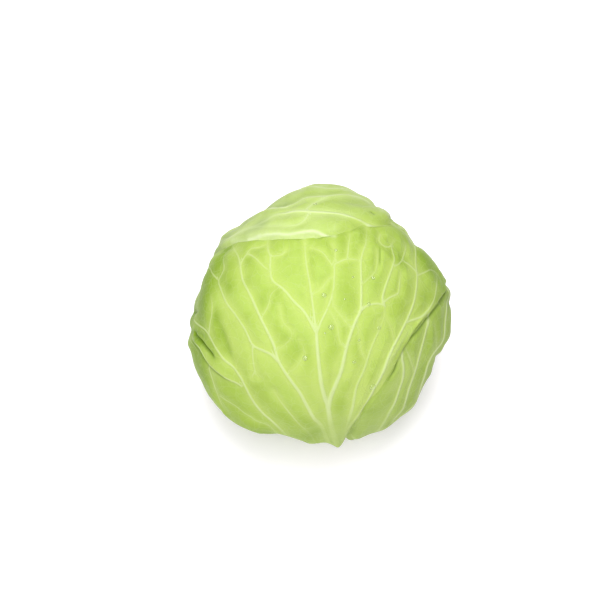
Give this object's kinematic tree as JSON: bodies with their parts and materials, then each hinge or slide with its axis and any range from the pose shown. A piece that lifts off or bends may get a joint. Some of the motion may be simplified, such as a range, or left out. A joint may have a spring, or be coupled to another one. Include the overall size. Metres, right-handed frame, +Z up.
{
  "type": "round cabbage head",
  "caption": "Round head of green cabbage lying on its side, with broad veined wrapper leaves folded over a dense heart and a cut stem.",
  "frame": {"origin": "middle of the flat spot that the head rests on, on the table's surface", "axes": "+Z up from the table, -Y towards the stem end, which points forward and down, +X to the right as seen from the front"},
  "size_m": [0.1737, 0.1708, 0.1675],
  "materials": {
    "outer_leaf": "satin",
    "inner_leaf": "satin",
    "heart": "satin",
    "stem": "matte"
  },
  "bodies": {
    "root": {"stem": "stem", "heart": "heart", "leaf_back_right": "inner_leaf", "leaf_left": "inner_leaf", "leaf_lower_left": "inner_leaf", "leaf_right": "inner_leaf", "leaf_front": "outer_leaf", "leaf_top": "outer_leaf"}
  },
  "joints": []
}
